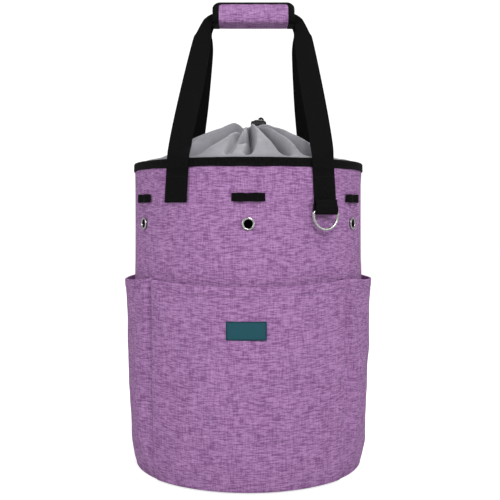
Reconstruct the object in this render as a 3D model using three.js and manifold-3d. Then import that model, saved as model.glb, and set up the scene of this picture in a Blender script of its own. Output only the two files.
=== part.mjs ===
// A tall round knitting bag: padded fabric drum, wrap-round outer pockets, webbing handles joined by a
// hook-and-loop grip, yarn eyelets, tool loops, D-rings and a drawstring collar. Millimetres, +Z up,
// the front of the bag faces -Y, and the origin is the centre of the base on the floor.
import * as THREE from "three";
import { mergeVertices } from "three/addons/utils/BufferGeometryUtils.js";
import Module from "manifold-3d";

const wasm = await Module();
wasm.setup();

// ---- Driving dimensions -------------------------------------------------------------------------
const GAP = 0.3; // air between neighbouring pieces
const BAG_RADIUS = 131; // outside of the drum wall
const WALL_TOP = 338.7; // raw top edge of the wall layers
const RIM_TOP = 340; // top of the rim binding
const SHELL_T = 1.2; // outer fabric
const FOAM_T = 3.5; // padding between outer fabric and lining
const LINING_T = 0.8;
const BINDING_T = 1;
const BINDING_DROP = 9.5; // how far the rim binding reaches down each side of the wall
const BASE_T = 1.4;
const BOARD_T = 2.5;
const WALL_SEGMENTS = 48;

const POCKET_TOP = 214;
const POCKET_BOTTOM = 3;
const POCKET_T = 1.4;
const FRONT_FULLNESS = { depth: 10.6, rise: 0.3 }; // how far a mouth stands off the wall, and how soon above
const SIDE_FULLNESS = { depth: 9, rise: 0.6 }; // the base the pocket reaches that depth
const POCKET_SAG = 5; // dip in the middle of each mouth
const FRONT_HALF_ANGLE = 47; // the front and back pockets reach this far each side of their middle

const EYELET_COUNT = 6; // eyelets and tool loops share this even spacing
const EYELET_Z = 272;
const EYELET_HOLE_R = 4.5;
const EYELET_BARREL_R = 5;
const EYELET_FLANGE_R = 6.75;
const EYELET_SEGMENTS = 14;
const EYELET_FACE = 1; // how far the flange stands off the wall
const WASHER_T = 0.6;
const LOOP_Z = 299;
const LOOP_WIDTH = 8.8;
const LOOP_LENGTH = 34.3;
const LOOP_RISE = 2.2; // each loop is sewn at both ends and in the middle, and stands off between them
const LOOP_T = 0.9;

const WEB_WIDTH = 25; // handle webbing
const WEB_T = 1.6;
const STRAP_ANGLE = 35; // each strap is sewn this far round from the front or back middle
const STRAP_END_Z = 295;
const STRAP_END_TOP = 342;
const STRAP_BEND_Z = 350; // a handle turns about the line where its plane crosses this height
const STRAP_BEND_REACH = 4; // the free webbing starts this far above that line
const HANDLE_FOOT_Y = 109.5; // the handles' planes meet the rim here and lean in to the ridge
const HANDLE_LEAN = 2; // sideways set of the handles at the rim, and their extra lean at the grip
const HANDLE_LEAN_TOP = 4;
const RIDGE_Y = 2.6; // the two webbings meet in a ridge inside the grip, this far from its middle
const RIDGE_Z = 522;

const GRIP_LENGTH = 93.5;
const GRIP_T = 1.6;
const TAPE_T = 0.5; // hook tape and loop tape
const TAPE_WIDTH = 10;

const RING_ANGLE = 35.5; // D-ring place round the bag, and the way it faces
const RING_FACING = 26;
const RING_RADIUS = 137.6;
const RING_Z = 284.5;
const RING_WIRE_R = 1.6;
const RING_HALF_WIDTH = 14.4;
const RING_DEPTH = 18.4;
const TAB_T = 1.2; // webbing folded round the ring's bar
const TAB_TOP = 8.6; // its sewn ends, above the bar

const COLLAR_T = 1.2;
const NECK_Z = 375; // gathered neck of the collar
const CORD_R = 1.25;
const CORD_SPACING = 2.7; // between the two cord strands inside the lock
const CORD_LOOP_R = 6.7;
const LOCK_CENTRE = new THREE.Vector3(12, 26, 390);
const LOCK_CORD_DIRECTION = new THREE.Vector3(0.12, 0.85, 0.5).normalize();
const LOCK_R = 5.7;
const LOCK_BACK = 9.5; // closed end of the lock body, from the cord
const LOCK_FRONT = 5; // open end
const BUTTON_R = 4.3;
const BUTTON_TIP = 9;
const CORD_CLEARANCE = 0.35; // round the strands, in the holes of the lock
const BUTTON_TRAVEL = 2.5;
const SPRING_TURNS = 3;
const SPRING_R = 3; // middle of the coil
const SPRING_WIRE_R = 0.35;
const LOCK_WALL_T = 1.4;
const PLUNGER_BACK = 1.6; // solid end of the button, behind the cords

// ---- Materials ----------------------------------------------------------------------------------
const material = (color, roughness, metalness = 0) =>
  new THREE.MeshStandardMaterial({ color, roughness, metalness });
const purpleFabric = material(0xa678b4, 0.95);
const blackWebbing = material(0x141414, 0.85);
const greyNylon = material(0x9d9ca3, 0.6);
const foam = material(0xe8e6de, 0.9);
const boardPlastic = material(0x2c2c2e, 0.6);
const nickel = material(0xd2d2d6, 0.25, 1);
const teal = material(0x1f5060, 0.8);
const blackPlastic = material(0x101010, 0.4);

// ---- Helpers ------------------------------------------------------------------------------------
const radians = THREE.MathUtils.degToRad;

// A point by its angle round the bag (0 at the front, 90 on the right), radius and height.
const polar = (degrees, radius, z) =>
  new THREE.Vector3(radius * Math.sin(radians(degrees)), -radius * Math.cos(radians(degrees)), z);

function positionsOnly(geometry) {
  const plain = geometry.clone();
  for (const name of ["normal", "uv"]) plain.deleteAttribute(name);
  return mergeVertices(plain, 1e-4);
}

function toSolid(geometry) {
  const merged = positionsOnly(geometry);
  return new wasm.Manifold(
    new wasm.Mesh({
      numProp: 3,
      vertProperties: new Float32Array(merged.attributes.position.array),
      triVerts: new Uint32Array(merged.index.array),
    }),
  );
}

function toGeometry(solid) {
  const made = solid.getMesh();
  const geometry = new THREE.BufferGeometry();
  geometry.setAttribute("position", new THREE.BufferAttribute(made.vertProperties, 3));
  geometry.setIndex(new THREE.BufferAttribute(made.triVerts, 1));
  geometry.computeVertexNormals();
  return geometry;
}

const cut = (geometry, cutters) =>
  toGeometry(cutters.reduce((rest, cutter) => rest.subtract(toSolid(cutter)), toSolid(geometry)));
const join = (geometries) =>
  toGeometry(geometries.slice(1).reduce((all, next) => all.add(toSolid(next)), toSolid(geometries[0])));

// A solid of revolution about Z from [radius, z] corners listed anticlockwise.
function revolve(corners, segments = WALL_SEGMENTS) {
  const points = corners.map(([r, z]) => new THREE.Vector2(r, z));
  const onAxis = corners[0][0] === 0 && corners.at(-1)[0] === 0;
  if (!onAxis) points.push(points[0].clone());
  return new THREE.LatheGeometry(points, segments).rotateX(Math.PI / 2);
}

const tube = (inner, outer, bottom, top) =>
  revolve([[inner, bottom], [outer, bottom], [outer, top], [inner, top]]);

// A sheet of the given thickness about the surface point(u, v), with u and v from 0 to 1.
function sheet(point, columns, rows, thickness) {
  const step = 1e-4;
  const vertices = [];
  const triangles = [];
  const index = (side, i, j) => side * (columns + 1) * (rows + 1) + j * (columns + 1) + i;
  for (const side of [0.5, -0.5])
    for (let j = 0; j <= rows; j++)
      for (let i = 0; i <= columns; i++) {
        const [u, v] = [i / columns, j / rows];
        const along = point(Math.min(u + step, 1), v).sub(point(Math.max(u - step, 0), v));
        const up = point(u, Math.min(v + step, 1)).sub(point(u, Math.max(v - step, 0)));
        const normal = along.cross(up).normalize();
        vertices.push(...point(u, v).addScaledVector(normal, side * thickness));
      }
  const quad = (a, b, c, d) => triangles.push(a, b, c, a, c, d);
  for (let j = 0; j < rows; j++)
    for (let i = 0; i < columns; i++) {
      quad(index(0, i, j), index(0, i + 1, j), index(0, i + 1, j + 1), index(0, i, j + 1));
      quad(index(1, i, j), index(1, i, j + 1), index(1, i + 1, j + 1), index(1, i + 1, j));
    }
  for (let i = 0; i < columns; i++) {
    quad(index(0, i, 0), index(1, i, 0), index(1, i + 1, 0), index(0, i + 1, 0));
    quad(index(0, i, rows), index(0, i + 1, rows), index(1, i + 1, rows), index(1, i, rows));
  }
  for (let j = 0; j < rows; j++) {
    quad(index(0, 0, j), index(0, 0, j + 1), index(1, 0, j + 1), index(1, 0, j));
    quad(index(0, columns, j), index(1, columns, j), index(1, columns, j + 1), index(0, columns, j + 1));
  }
  const geometry = new THREE.BufferGeometry();
  geometry.setAttribute("position", new THREE.Float32BufferAttribute(vertices, 3));
  geometry.setIndex(triangles);
  geometry.computeVertexNormals();
  return geometry;
}

// A round bar along a curve.
function bar(curve, radius, steps, sides = 8) {
  const section = new THREE.Shape(
    Array.from({ length: sides }, (_, i) => {
      const turn = (2 * Math.PI * i) / sides;
      return new THREE.Vector2(radius * Math.cos(turn), radius * Math.sin(turn));
    }),
  );
  return new THREE.ExtrudeGeometry(section, { steps, bevelEnabled: false, extrudePath: curve });
}

const bag = new THREE.Group();

function add(name, geometry, finish, parent = bag) {
  const mesh = new THREE.Mesh(geometry, finish);
  mesh.name = name;
  parent.add(mesh);
  return mesh;
}

// A group whose -Y faces outwards at an angle round the bag.
function facing(degrees) {
  const group = new THREE.Group();
  group.rotation.z = radians(degrees);
  bag.add(group);
  return group;
}

const around = ["front", "front_right", "back_right", "back", "back_left", "front_left"];

// ---- Drum: outer fabric, padding, lining, base --------------------------------------------------
const shellInner = BAG_RADIUS - SHELL_T;
const foamOuter = shellInner - GAP;
const foamInner = foamOuter - FOAM_T;
const liningOuter = foamInner - GAP;
const liningInner = liningOuter - LINING_T;
const wallBottom = BASE_T + GAP;

const eyeletHoles = around.map((_, i) =>
  new THREE.CylinderGeometry(EYELET_BARREL_R + GAP, EYELET_BARREL_R + GAP, 20, EYELET_SEGMENTS)
    .translate(0, -BAG_RADIUS, 0)
    .rotateZ(radians((360 / EYELET_COUNT) * i))
    .translate(0, 0, EYELET_Z),
);

add("shell_wall", cut(tube(shellInner, BAG_RADIUS, wallBottom, WALL_TOP), eyeletHoles), purpleFabric);
add("foam_wall", cut(tube(foamInner, foamOuter, wallBottom, WALL_TOP), eyeletHoles), foam);
add("lining_wall", cut(tube(liningInner, liningOuter, wallBottom, WALL_TOP), eyeletHoles), greyNylon);

const disc = (radius, bottom, top) => revolve([[0, bottom], [radius, bottom], [radius, top], [0, top]]);
const boardRadius = liningInner - 0.8;
const boardTop = wallBottom + BOARD_T;
add("base_panel", disc(BAG_RADIUS - GAP, 0, BASE_T), purpleFabric);
add("base_board", disc(boardRadius, wallBottom, boardTop), boardPlastic);
add("base_lining", disc(boardRadius, boardTop + GAP, boardTop + GAP + LINING_T), greyNylon);
const tapeBottom = boardTop + GAP + LINING_T + GAP;
add("base_seam_tape", tube(liningInner - 1.8, liningInner - 0.8, tapeBottom, tapeBottom + 12), blackWebbing);

function rimBinding() {
  const [outside, inside] = [BAG_RADIUS + GAP, liningInner - GAP];
  const [low, under] = [RIM_TOP - BINDING_DROP, RIM_TOP - BINDING_T];
  return revolve([
    [outside, low], [outside + BINDING_T, low], [outside + BINDING_T, RIM_TOP],
    [inside - BINDING_T, RIM_TOP], [inside - BINDING_T, low], [inside, low],
    [inside, under], [outside, under],
  ]);
}
add("rim_binding", rimBinding(), blackWebbing);

// ---- Outer pockets ------------------------------------------------------------------------------
// Each pocket is sewn to the wall at both sides and at the base, and stands off it in between.
function pocketRadius(across, z, fullness) {
  const height = (z - POCKET_BOTTOM) / (POCKET_TOP - POCKET_BOTTOM);
  const bulge = fullness.depth * Math.pow(height, fullness.rise);
  return BAG_RADIUS + GAP + POCKET_T / 2 + bulge * (1 - Math.pow(Math.abs(across), 8));
}

function pocket(middle, halfAngle, fullness) {
  const half = halfAngle - 0.2;
  return sheet(
    (u, v) => {
      const across = 2 * u - 1;
      const top = POCKET_TOP - POCKET_SAG * (1 - across * across);
      const z = POCKET_BOTTOM + v * v * (3 - 2 * v) * (top - POCKET_BOTTOM);
      return polar(middle + across * half, pocketRadius(across, z, fullness), z);
    },
    14, 6, POCKET_T,
  );
}
const sideHalfAngle = 90 - FRONT_HALF_ANGLE;
add("front_pocket", pocket(0, FRONT_HALF_ANGLE, FRONT_FULLNESS), purpleFabric);
add("right_pocket", pocket(90, sideHalfAngle, SIDE_FULLNESS), purpleFabric);
add("back_pocket", pocket(180, FRONT_HALF_ANGLE, FRONT_FULLNESS), purpleFabric);
add("left_pocket", pocket(270, sideHalfAngle, SIDE_FULLNESS), purpleFabric);

const LABEL = { width: 41, height: 19, z: 165.4, x: -2, thickness: 0.8 };
function label() {
  return sheet(
    (u, v) => {
      const z = LABEL.z + (v - 0.5) * LABEL.height;
      const front = (height) => pocketRadius(0, height, FRONT_FULLNESS);
      const radius = front(LABEL.z) + POCKET_T / 2 + 0.5 + LABEL.thickness / 2;
      const turn = ((LABEL.x + (u - 0.5) * LABEL.width) / radius) * THREE.MathUtils.RAD2DEG;
      const lean = front(z) - front(LABEL.z);
      return polar(turn, radius + lean, z);
    },
    4, 2, LABEL.thickness,
  );
}
add("label_patch", label(), teal);

// ---- Yarn eyelets and tool loops ----------------------------------------------------------------
// An eyelet's barrel goes through the wall along -Y in its own frame, and its washer sits inside.
const washerFront = liningInner - BAG_RADIUS - 0.7;
const washerBack = washerFront - WASHER_T;
function eyelet() {
  const back = washerBack - 0.2;
  const shoulder = EYELET_FACE - 0.3;
  return revolve([
    [EYELET_HOLE_R, back], [EYELET_BARREL_R, back], [EYELET_BARREL_R, GAP], [EYELET_FLANGE_R, GAP],
    [EYELET_FLANGE_R, shoulder], [EYELET_FLANGE_R - 1, EYELET_FACE], [EYELET_HOLE_R, shoulder],
  ], EYELET_SEGMENTS).rotateX(Math.PI / 2);
}
function washer() {
  const hole = EYELET_BARREL_R + GAP;
  return revolve([
    [hole, washerBack], [EYELET_FLANGE_R, washerBack], [EYELET_FLANGE_R, washerFront], [hole, washerFront],
  ], EYELET_SEGMENTS).rotateX(Math.PI / 2);
}
function toolLoop() {
  return sheet(
    (u, v) => {
      const rise = LOOP_RISE * Math.pow(Math.sin(2 * Math.PI * u), 2);
      const turn = (((u - 0.5) * LOOP_LENGTH) / BAG_RADIUS) * THREE.MathUtils.RAD2DEG;
      return polar(turn, BAG_RADIUS + GAP + LOOP_T / 2 + rise, LOOP_Z + (v - 0.5) * LOOP_WIDTH);
    },
    16, 1, LOOP_T,
  );
}
around.forEach((place, i) => {
  const group = facing((360 / EYELET_COUNT) * i);
  for (const [name, geometry] of [["eyelet", eyelet()], ["eyelet_washer", washer()]])
    add(`${name}_${place}`, geometry, nickel, group).position.set(0, -BAG_RADIUS, EYELET_Z);
  add(`tool_loop_${place}`, toolLoop(), blackWebbing, group);
});

// ---- Handle webbing -----------------------------------------------------------------------------
// The sewn ends lie on the wall over the rim binding.
const strapRadius = BAG_RADIUS + 2 * GAP + BINDING_T + WEB_T / 2;
function strapEnd() {
  const half = (WEB_WIDTH / 2 / strapRadius) * THREE.MathUtils.RAD2DEG;
  const height = (v) => STRAP_END_Z + v * (STRAP_END_TOP - STRAP_END_Z);
  return sheet((u, v) => polar((2 * u - 1) * half, strapRadius, height(v)), 4, 1, WEB_T);
}
const strapPlaces = {
  front_right: STRAP_ANGLE, back_right: 180 - STRAP_ANGLE,
  back_left: 180 + STRAP_ANGLE, front_left: -STRAP_ANGLE,
};
for (const [place, angle] of Object.entries(strapPlaces))
  add(`strap_end_${place}`, strapEnd(), blackWebbing, facing(angle));

const slope = Math.atan2(HANDLE_FOOT_Y - RIDGE_Y, RIDGE_Z - RIM_TOP);
const handleTop = Math.hypot(HANDLE_FOOT_Y - RIDGE_Y, RIDGE_Z - RIM_TOP);
const handleStart = (STRAP_BEND_Z + STRAP_BEND_REACH - RIM_TOP) / Math.cos(slope);
const gripWebWidth = 18; // the webbing bunches a little inside the grip

// Half outlines of the free webbing, as [distance from the middle, distance up the slope].
const handleOuter = [
  [87, handleStart], [78.1, 90], [68.7, 159.5], [64.2, 173.5], [57.3, 193], [46.8, 204],
  [28, handleTop - 0.8],
];
const handleInner = [
  [62, handleStart], [53.3, 90], [47.5, 159.5], [49.4, 180], [47.8, 190], [42, 192.5],
  [20, handleTop - gripWebWidth],
];

// The free webbing is flat, and leans in from the rim to the ridge inside the grip.
function handleStrap(side) {
  const lean = (up) => side * (HANDLE_LEAN + (HANDLE_LEAN_TOP * up) / handleTop);
  const half = (points, sign) => points.map(([x, up]) => new THREE.Vector2(sign * x + lean(up), up));
  const outer = [
    ...half(handleOuter, 1),
    new THREE.Vector2(lean(handleTop), handleTop),
    ...half(handleOuter, -1).reverse(),
  ];
  const inner = [
    ...half(handleInner, -1),
    new THREE.Vector2(lean(handleTop), handleTop - gripWebWidth),
    ...half(handleInner, 1).reverse(),
  ];
  const edge = (points) => new THREE.SplineCurve(points).getPoints(36);
  const outline = new THREE.Shape([...edge(outer), ...edge(inner)]);
  return new THREE.ExtrudeGeometry(outline, { depth: WEB_T, bevelEnabled: false })
    .translate(0, 0, -WEB_T / 2)
    .rotateX(Math.PI / 2 - slope)
    .translate(0, -HANDLE_FOOT_Y, RIM_TOP);
}
for (const [name, angle, side] of [["front_handle_strap", 0, 1], ["back_handle_strap", 180, -1]])
  add(name, handleStrap(side), blackWebbing, facing(angle));

// ---- Grip: a wrap round both webbings, closed by a flap with hook-and-loop tape ---------------------
const gripX = HANDLE_LEAN + HANDLE_LEAN_TOP;
// A sheet that follows a [y, z] curve and runs along X.
function gripSheet(corners, length, thickness, columns) {
  const curve = new THREE.CatmullRomCurve3(corners.map(([y, z]) => new THREE.Vector3(0, y, z)));
  const point = (u, v) => curve.getPoint(u).setX(gripX + (v - 0.5) * length);
  return sheet(point, columns, 1, thickness);
}
const ridgeTop = RIDGE_Z + 1.9; // middle of the wrap's own top
const wrapSection = [
  [-15.5, 504.6], [-10, 502.4], [0, 501.8], [10, 502.4], [15.5, 505], [16.6, 510.5], [12.5, 517.5],
  [8, 521.5], [4, ridgeTop], [-1.5, ridgeTop], [-7, ridgeTop],
];
add("grip_wrap", gripSheet(wrapSection, GRIP_LENGTH, GRIP_T, 24), purpleFabric);
const loopTapeZ = ridgeTop + GRIP_T / 2 + GAP + TAPE_T / 2;
const hookTapeZ = loopTapeZ + TAPE_T + GAP / 2;
const tapeSheet = (z) =>
  gripSheet([[-TAPE_WIDTH * 0.6, z], [TAPE_WIDTH * 0.2, z]], GRIP_LENGTH - 14, TAPE_T, 1);
add("grip_loop_tape", tapeSheet(loopTapeZ), blackWebbing);
add("grip_hook_tape", tapeSheet(hookTapeZ), blackWebbing);
const flapTop = hookTapeZ + TAPE_T / 2 + GAP + GRIP_T / 2;
const flapSection = [
  [-17.6, 504.4], [-18.2, 509], [-15, 516], [-11.4, 522], [-8.2, flapTop - 0.6], [-2, flapTop],
  [5, flapTop],
];
add("grip_flap", gripSheet(flapSection, GRIP_LENGTH, GRIP_T, 16), purpleFabric);

// ---- D-rings and their webbing tabs -------------------------------------------------------------
// In the ring's own frame the straight bar lies along X, and the ring hangs down.
function dRing() {
  const steps = 8;
  const side = RING_DEPTH - RING_HALF_WIDTH;
  const bow = Array.from({ length: steps + 1 }, (_, i) => {
    const turn = (Math.PI * i) / steps;
    const [x, z] = [-RING_HALF_WIDTH * Math.cos(turn), -side - RING_HALF_WIDTH * Math.sin(turn)];
    return new THREE.Vector3(x, 0, z);
  });
  const ends = [-RING_HALF_WIDTH, RING_HALF_WIDTH].map((x) => new THREE.Vector3(x, 0, 0));
  const curve = new THREE.CatmullRomCurve3([ends[0], ...bow, ends[1]]);
  const barLength = 2 * (RING_HALF_WIDTH + RING_WIRE_R);
  const straight = new THREE.CylinderGeometry(RING_WIRE_R, RING_WIRE_R, barLength, 8);
  return join([bar(curve, RING_WIRE_R, 22), straight.rotateZ(Math.PI / 2)]);
}
// The tab is webbing folded round the bar, with both ends sewn at the bottom of the strap.
function ringTab() {
  const bend = RING_WIRE_R + GAP + TAB_T / 2;
  const corner = bend * Math.SQRT1_2;
  const fold = [
    [-bend, TAB_TOP], [-bend, 3], [-bend, 0], [-corner, -corner], [0, -bend], [corner, -corner],
    [bend, 0], [bend, 3], [bend * 0.7, TAB_TOP],
  ];
  const curve = new THREE.CatmullRomCurve3(fold.map(([out, z]) => new THREE.Vector3(0, -out, z)));
  return sheet((u, v) => curve.getPoint(u).setX((0.5 - v) * WEB_WIDTH), 14, 1, TAB_T);
}
for (const [place, opposite] of [["front", 0], ["back", 180]]) {
  const group = facing(RING_FACING + opposite);
  group.position.copy(polar(RING_ANGLE + opposite, RING_RADIUS, RING_Z));
  add(`d_ring_${place}`, dRing(), nickel, group);
  add(`d_ring_tab_${place}`, ringTab(), blackWebbing, group);
}

// ---- Drawstring collar --------------------------------------------------------------------------
// A thin skirt inside the rim that rises in a low dome and dips to the gathered neck.
function collar() {
  const skirt = liningInner - 2 * GAP - BINDING_T - COLLAR_T / 2;
  const line = [
    [skirt, RIM_TOP - 16], [skirt - 0.8, RIM_TOP - 1], [116, 344.5], [104, 350.5],
    [62, 369.5], [33, 380.5], [16, 384.2], [11, 382.5], [10, NECK_Z + 4],
  ].map(([r, z]) => new THREE.Vector2(r, z));
  const middle = new THREE.SplineCurve(line).getPoints(12);
  const shifted = (side) =>
    middle.map((p, i) => {
      const way = middle[Math.min(i + 1, 12)].clone().sub(middle[Math.max(i - 1, 0)]).normalize();
      return [p.x + (side * way.y * COLLAR_T) / 2, p.y - (side * way.x * COLLAR_T) / 2];
    });
  return revolve([...shifted(1), ...shifted(-1).reverse()], 32);
}
add("collar", collar(), greyNylon);

// The hem is the neck's rolled edge: a channel, open to the middle, that holds the cord's loop.
function collarHem() {
  const [inner, wall, outer] = [4.4, 8.4, 10.8];
  const [bottom, floor, top] = [NECK_Z - 3, NECK_Z - 1.7, NECK_Z + 3];
  return revolve(
    [[inner, bottom], [outer, bottom], [outer, top], [wall, top], [wall, floor], [inner, floor]],
    20,
  );
}
add("collar_hem", collarHem(), greyNylon);

// Frame of the cord lock: Z along the cords, X along the button, Y from one strand to the other.
const lockZ = LOCK_CORD_DIRECTION;
const lockX = new THREE.Vector3(-1, 0, 0).addScaledVector(lockZ, lockZ.x).normalize();
const lockY = lockZ.clone().cross(lockX);
const lockFrame = new THREE.Matrix4().makeBasis(lockX, lockY, lockZ).setPosition(LOCK_CENTRE);
const inLock = (x, y, z) => new THREE.Vector3(x, y, z).applyMatrix4(lockFrame);

// One cord: up from one tail, through the lock, round the neck, back through the lock to the other tail.
// The strands lie side by side over the collar's lip, and one above the other inside the lock.
function drawcord() {
  const beside = new THREE.Vector3(-0.83, 0.56, 0).multiplyScalar(CORD_SPACING * 0.6);
  const above = new THREE.Vector3(0, 0, CORD_SPACING * 0.35);
  const overLip = [
    [new THREE.Vector3(8.8, 14, 387.7), beside.clone().multiplyScalar(0.7).add(above)],
    [new THREE.Vector3(6.5, 9.2, 386.3), beside],
    [new THREE.Vector3(4.2, 5.6, 380.5), beside],
  ];
  const tail = [[15.5, 41, 398.5], [19.5, 52, 388], [24, 68, 373], [28, 86, 362]];
  const strand = (side) => [
    ...tail.map(([x, y, z]) => new THREE.Vector3(x + side * CORD_SPACING * 0.6, y, z)).reverse(),
    ...[14, 7, 0, -6].map((along) => inLock(0, (side * CORD_SPACING) / 2, along)),
    ...overLip.map(([centre, offset]) => centre.clone().addScaledVector(offset, side)),
  ];
  const loop = Array.from({ length: 9 }, (_, i) => {
    const turn = radians(92 + i * 36);
    return new THREE.Vector3(CORD_LOOP_R * Math.cos(turn), CORD_LOOP_R * Math.sin(turn), NECK_Z);
  });
  const path = new THREE.CatmullRomCurve3([...strand(1), ...loop, ...strand(-1).reverse()]);
  return bar(path, CORD_R, 110, 6);
}
add("drawcord", drawcord(), blackWebbing);

// ---- Cord lock ----------------------------------------------------------------------------------
const lockGroup = new THREE.Group();
lockGroup.applyMatrix4(lockFrame);
bag.add(lockGroup);
const holeHalf = CORD_R + CORD_CLEARANCE;
const slot = (from, to) =>
  new THREE.BoxGeometry(to - from, CORD_SPACING + 2 * holeHalf, 4 * LOCK_R).translate((from + to) / 2, 0, 0);
// revolve() turns about Z, so the barrel and button are turned on to X.
const alongX = (corners, segments) => revolve(corners, segments).rotateY(Math.PI / 2);
function lockBody() {
  const cavity = BUTTON_R + GAP;
  const barrel = alongX([
    [0, -LOCK_BACK], [LOCK_R - 3, -LOCK_BACK], [LOCK_R - 0.8, -LOCK_BACK + 1.5], [LOCK_R, -LOCK_BACK + 4],
    [LOCK_R, LOCK_FRONT - 2], [LOCK_R - 0.6, LOCK_FRONT], [cavity, LOCK_FRONT],
    [cavity, LOCK_WALL_T - LOCK_BACK], [0, LOCK_WALL_T - LOCK_BACK],
  ], 18);
  return cut(barrel, [slot(-holeHalf, holeHalf)]);
}
const plungerEnd = -holeHalf - PLUNGER_BACK;
function lockButton() {
  const plunger = alongX([
    [0, plungerEnd], [BUTTON_R, plungerEnd], [BUTTON_R, BUTTON_TIP - 2],
    [BUTTON_R - 1.2, BUTTON_TIP - 0.5], [0, BUTTON_TIP],
  ], 18);
  return cut(plunger, [slot(-holeHalf, holeHalf + BUTTON_TRAVEL)]);
}
function lockSpring() {
  const clear = 2 * SPRING_WIRE_R;
  const [from, to] = [LOCK_WALL_T - LOCK_BACK + clear, plungerEnd - clear];
  const steps = SPRING_TURNS * 8;
  const coil = Array.from({ length: steps + 1 }, (_, i) => {
    const turn = (2 * Math.PI * i) / 8;
    const x = from + ((to - from) * i) / steps;
    return new THREE.Vector3(x, SPRING_R * Math.cos(turn), SPRING_R * Math.sin(turn));
  });
  return bar(new THREE.CatmullRomCurve3(coil), SPRING_WIRE_R, SPRING_TURNS * 14, 5);
}
add("lock_body", lockBody(), blackPlastic, lockGroup);
add("lock_button", lockButton(), blackPlastic, lockGroup);
add("lock_spring", lockSpring(), nickel, lockGroup);

export default bag;
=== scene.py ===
"""A tall round knitting bag built round its CAD frame.

Shapes are worked out in millimetres in the frame's own axes: +Z is up, the front of the bag faces -Y and the
origin is the centre of the base, on the floor. `theta` is an angle round the bag in degrees, 0 at the front
and 90 on the right.
"""
import math

import bpy
import numpy as np
from mathutils import Matrix, Vector


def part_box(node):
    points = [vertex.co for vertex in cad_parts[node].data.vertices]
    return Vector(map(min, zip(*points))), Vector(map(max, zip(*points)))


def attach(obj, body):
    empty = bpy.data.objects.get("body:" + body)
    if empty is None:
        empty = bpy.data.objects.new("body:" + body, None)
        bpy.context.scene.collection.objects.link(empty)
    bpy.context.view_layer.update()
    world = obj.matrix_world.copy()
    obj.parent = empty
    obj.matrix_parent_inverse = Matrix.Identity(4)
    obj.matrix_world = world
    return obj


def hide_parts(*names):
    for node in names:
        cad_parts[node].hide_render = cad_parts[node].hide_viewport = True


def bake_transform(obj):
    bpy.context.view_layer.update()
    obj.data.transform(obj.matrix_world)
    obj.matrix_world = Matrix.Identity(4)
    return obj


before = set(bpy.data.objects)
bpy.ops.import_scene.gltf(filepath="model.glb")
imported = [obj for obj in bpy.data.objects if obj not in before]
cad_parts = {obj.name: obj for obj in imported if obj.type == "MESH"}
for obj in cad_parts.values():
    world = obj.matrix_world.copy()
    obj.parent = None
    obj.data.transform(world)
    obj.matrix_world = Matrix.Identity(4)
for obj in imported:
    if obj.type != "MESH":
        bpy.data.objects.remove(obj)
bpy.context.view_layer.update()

MM = 0.001
FRONT = np.array([0.0, -1.0, 0.0])

# ---- Driving dimensions, from the frame ----------------------------------------------------------


def corners(node):
    """Lowest and highest corner of a CAD node in millimetres."""
    low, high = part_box(node)
    return np.array(low) / MM, np.array(high) / MM


def middle_of(node):
    """The middle of a CAD node's box in millimetres."""
    low, high = corners(node)
    return (low + high) / 2


wall_low, wall_high = corners("shell_wall")
WALL_R, WALL_TOP = wall_high[0], wall_high[2]
rim_low, rim_high = corners("rim_binding")
RIM_LOW, RIM_TOP, RIM_OUT = rim_low[2], rim_high[2], rim_high[0]
POCKET_TOP = corners("front_pocket")[1][2]
POCKET_T = 1.4
POCKET_SAG = 5
SEAM_ANGLE = 48.4  # where the front and back pockets meet the side pockets
SIDE_HALF = 90 - SEAM_ANGLE
EYELET_Z = middle_of("eyelet_front")[2]
AROUND = ["front", "front_right", "back_right", "back", "back_left", "front_left"]
AROUND_STEP = 60  # degrees from one of these places to the next
grip_low, grip_high = corners("grip_wrap")
GRIP_X = middle_of("grip_wrap")[0]
GRIP_HALF = (grip_high[0] - grip_low[0]) / 2
NECK_Z = middle_of("collar_hem")[2]
LABEL_SIZE = (41.0, 19.0)

# ---- Numbers and curves --------------------------------------------------------------------------


def smooth(x, low, high):
    """0 below low, 1 above high, and a smooth step between them."""
    t = np.clip((np.asarray(x, float) - low) / (high - low), 0, 1)
    return t * t * (3 - 2 * t)


def hump(x, width):
    return np.exp(-((x / width) ** 2))


def flat_top(x, power):
    """Close to 1 between -1 and 1, and 0 at both ends and beyond."""
    return np.clip(1 - np.abs(x) ** power, 0, 1)


def full_turn(count):
    """Angles evenly spaced round a full turn."""
    return np.linspace(0, 2 * np.pi, count, endpoint=False)


def steady(x, xs, ys):
    """A smooth curve through the points (xs, ys) that never overshoots them."""
    xs, ys = np.asarray(xs, float), np.asarray(ys, float)
    gap = np.diff(xs)
    slope = np.diff(ys) / gap
    tangent = np.zeros_like(ys)
    before, after = slope[:-1], slope[1:]
    same = before * after > 0
    tangent[1:-1][same] = 2 * before[same] * after[same] / (before + after)[same]
    tangent[0], tangent[-1] = slope[0], slope[-1]
    x = np.clip(x, xs[0], xs[-1])
    i = np.clip(np.searchsorted(xs, x) - 1, 0, len(gap) - 1)
    t = (x - xs[i]) / gap[i]
    rise = ys[i] * (1 + 2 * t) * (1 - t) ** 2 + ys[i + 1] * t * t * (3 - 2 * t)
    return rise + gap[i] * t * (1 - t) * (tangent[i] * (1 - t) - tangent[i + 1] * t)


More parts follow.
